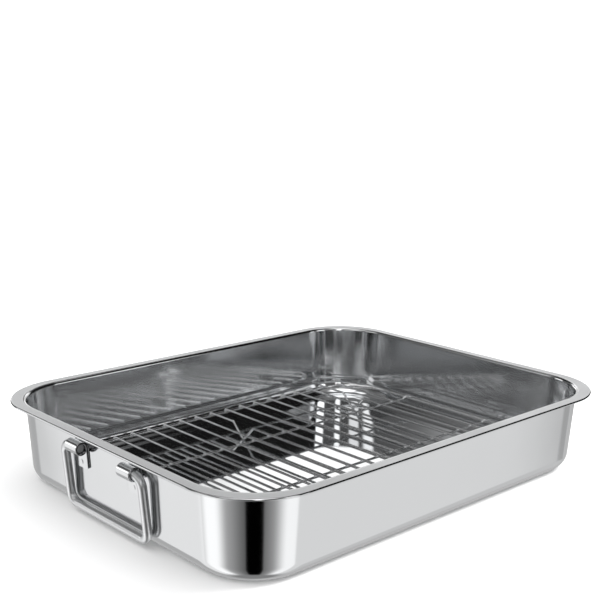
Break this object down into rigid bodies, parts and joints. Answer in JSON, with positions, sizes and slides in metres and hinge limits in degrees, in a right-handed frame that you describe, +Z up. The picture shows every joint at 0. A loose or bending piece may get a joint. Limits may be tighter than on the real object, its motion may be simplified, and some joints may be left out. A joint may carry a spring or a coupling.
{
  "type": "roasting pan with rack",
  "caption": "Deep rectangular roasting pan with rounded corners, flat hemmed rim, drop handles on the short walls and a lift-out wire rack standing on bent feet.",
  "frame": {"origin": "middle of the base, on the plane the pan stands on", "axes": "+X along the long side, +Y along the short side, +Z up out of the pan"},
  "size_m": [0.4, 0.32, 0.065],
  "materials": {
    "polished_sheet": "mirror-polished stainless sheet",
    "polished_bar": "polished stainless bar",
    "bracket_strip": "polished stainless strip",
    "rack_wire": "bright stainless wire"
  },
  "bodies": {
    "pan": {"pan_shell": "polished_sheet", "left_back_bracket": "bracket_strip", "left_front_bracket": "bracket_strip", "right_back_bracket": "bracket_strip", "right_front_bracket": "bracket_strip"},
    "left_handle": {"left_bail": "polished_bar"},
    "right_handle": {"right_bail": "polished_bar"},
    "rack": {"rack_back_stringer": "rack_wire", "rack_cross_wire_01": "rack_wire", "rack_cross_wire_03": "rack_wire", "rack_cross_wire_04": "rack_wire", "rack_cross_wire_05": "rack_wire", "rack_cross_wire_06": "rack_wire", "rack_cross_wire_07": "rack_wire", "rack_cross_wire_08": "rack_wire", "rack_cross_wire_09": "rack_wire", "rack_cross_wire_11": "rack_wire", "rack_cross_wire_12": "rack_wire", "rack_cross_wire_13": "rack_wire", "rack_cross_wire_14": "rack_wire", "rack_cross_wire_15": "rack_wire", "rack_cross_wire_16": "rack_wire", "rack_cross_wire_17": "rack_wire", "rack_cross_wire_19": "rack_wire", "rack_foot_wire_02": "rack_wire", "rack_foot_wire_10": "rack_wire", "rack_foot_wire_18": "rack_wire", "rack_front_stringer": "rack_wire", "rack_rim": "rack_wire"}
  },
  "joints": [
    {"name": "left_handle_swing", "type": "hinge", "parent": "pan", "child": "left_handle", "pos_m": [-0.19454, 0, 0.053], "axis": [0, 1, 0], "range_deg": [-0.5, 140]},
    {"name": "right_handle_swing", "type": "hinge", "parent": "pan", "child": "right_handle", "pos_m": [0.19454, 0, 0.053], "axis": [0, -1, 0], "range_deg": [-0.5, 140]},
    {"name": "rack_lift", "type": "slide", "parent": "pan", "child": "rack", "axis": [0, 0, 1], "range_m": [0, 0.116]}
  ]
}
